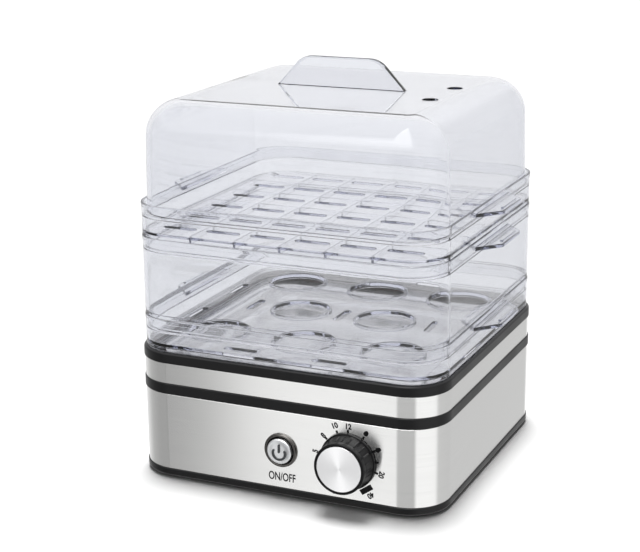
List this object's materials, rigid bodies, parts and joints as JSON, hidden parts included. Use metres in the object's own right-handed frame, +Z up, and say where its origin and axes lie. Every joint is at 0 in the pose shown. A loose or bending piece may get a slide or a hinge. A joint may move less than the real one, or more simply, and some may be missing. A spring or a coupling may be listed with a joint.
{
  "type": "egg cooker",
  "caption": "Square electric egg cooker: steel base with timer knob and push button, clear egg rack, spacer ring, steam tray and domed lid with a grip fin.",
  "frame": {"origin": "middle of the object's footprint box, on the surface that the feet stand on", "axes": "+Z up, the control panel faces -Y, +X to the right when facing the panel"},
  "size_m": [0.1954, 0.1872, 0.2205],
  "materials": {
    "rubber_black": "matt moulded rubber",
    "plastic_black": "fine-grained black plastic with a slight sheen",
    "steel_brushed": "brushed along the wall, satin",
    "steel_polished": "pressed and polished dish",
    "steel_zinc": "zinc-plated sheet and screws",
    "seal_silicone": "soft silicone",
    "aluminium_cast": "pressed aluminium",
    "element_sheath": "heat-stained sheath",
    "ceramic_white": "unglazed white body",
    "plastic_natural": "natural engineering plastic",
    "brass": "plain machined brass",
    "knob_black": "satin black moulding",
    "aluminium_spun": "spun finish in rings round the centre",
    "print_black": "printed ink",
    "bezel_chrome": "dark chrome plating",
    "cap_silver": "silver lacquered cap",
    "symbol_grey": "inlaid grey sign",
    "lamp_amber": "tinted lens",
    "lead_red": "silicone-coated leads",
    "plastic_clear": "clear moulding, polished, faint grey tint"
  },
  "bodies": {
    "base": {"feet": "rubber_black", "base_pan": "plastic_black", "base_screws": "steel_zinc", "body_shell": "steel_brushed", "mid_ring": "plastic_black", "upper_band": "steel_brushed", "top_ring": "plastic_black", "dish_gasket": "seal_silicone", "heating_dish": "steel_polished", "element_plate": "aluminium_cast", "heating_element": "element_sheath", "thermostat": "ceramic_white", "thermal_fuse": "ceramic_white", "heat_shield": "steel_zinc", "control_bracket": "steel_zinc", "bracket_screws": "steel_zinc", "timer_body": "plastic_natural", "timer_nut": "brass", "dial_marks": "print_black", "button_bezel": "bezel_chrome", "button_spring": "steel_zinc", "switch_body": "plastic_natural", "indicator_lamp": "lamp_amber", "terminal_block": "plastic_natural", "earth_screw": "brass", "cord_inlet": "rubber_black", "wiring": "lead_red"},
    "knob": {"knob": "knob_black", "knob_face": "aluminium_spun", "timer_shaft": "steel_zinc"},
    "button": {"button_cap": "cap_silver", "button_symbol": "symbol_grey", "button_stem": "plastic_natural"},
    "rack": {"egg_rack": "plastic_clear", "egg_rack_floor": "plastic_clear"},
    "spacer": {"spacer_ring": "plastic_clear"},
    "tray": {"steam_tray": "plastic_clear"},
    "lid": {"lid": "plastic_clear"}
  },
  "joints": [
    {"name": "knob_turn", "type": "hinge", "parent": "base", "child": "knob", "pos_m": [0.0398, -0.081, 0.0267], "axis": [0, 1, 0], "range_deg": [0, 300]},
    {"name": "button_press", "type": "slide", "parent": "base", "child": "button", "axis": [0, 1, 0], "range_m": [0, 0.0025], "stiffness_N_per_m": 400, "springref_m": -0.001, "deforming": ["button_spring"]},
    {"name": "rack_lift", "type": "slide", "parent": "base", "child": "rack", "axis": [0, 0, 1], "range_m": [0, 0.1]},
    {"name": "spacer_lift", "type": "slide", "parent": "rack", "child": "spacer", "axis": [0, 0, 1], "range_m": [0, 0.08]},
    {"name": "tray_lift", "type": "slide", "parent": "spacer", "child": "tray", "axis": [0, 0, 1], "range_m": [0, 0.08]},
    {"name": "lid_lift", "type": "slide", "parent": "tray", "child": "lid", "axis": [0, 0, 1], "range_m": [0, 0.12]}
  ]
}
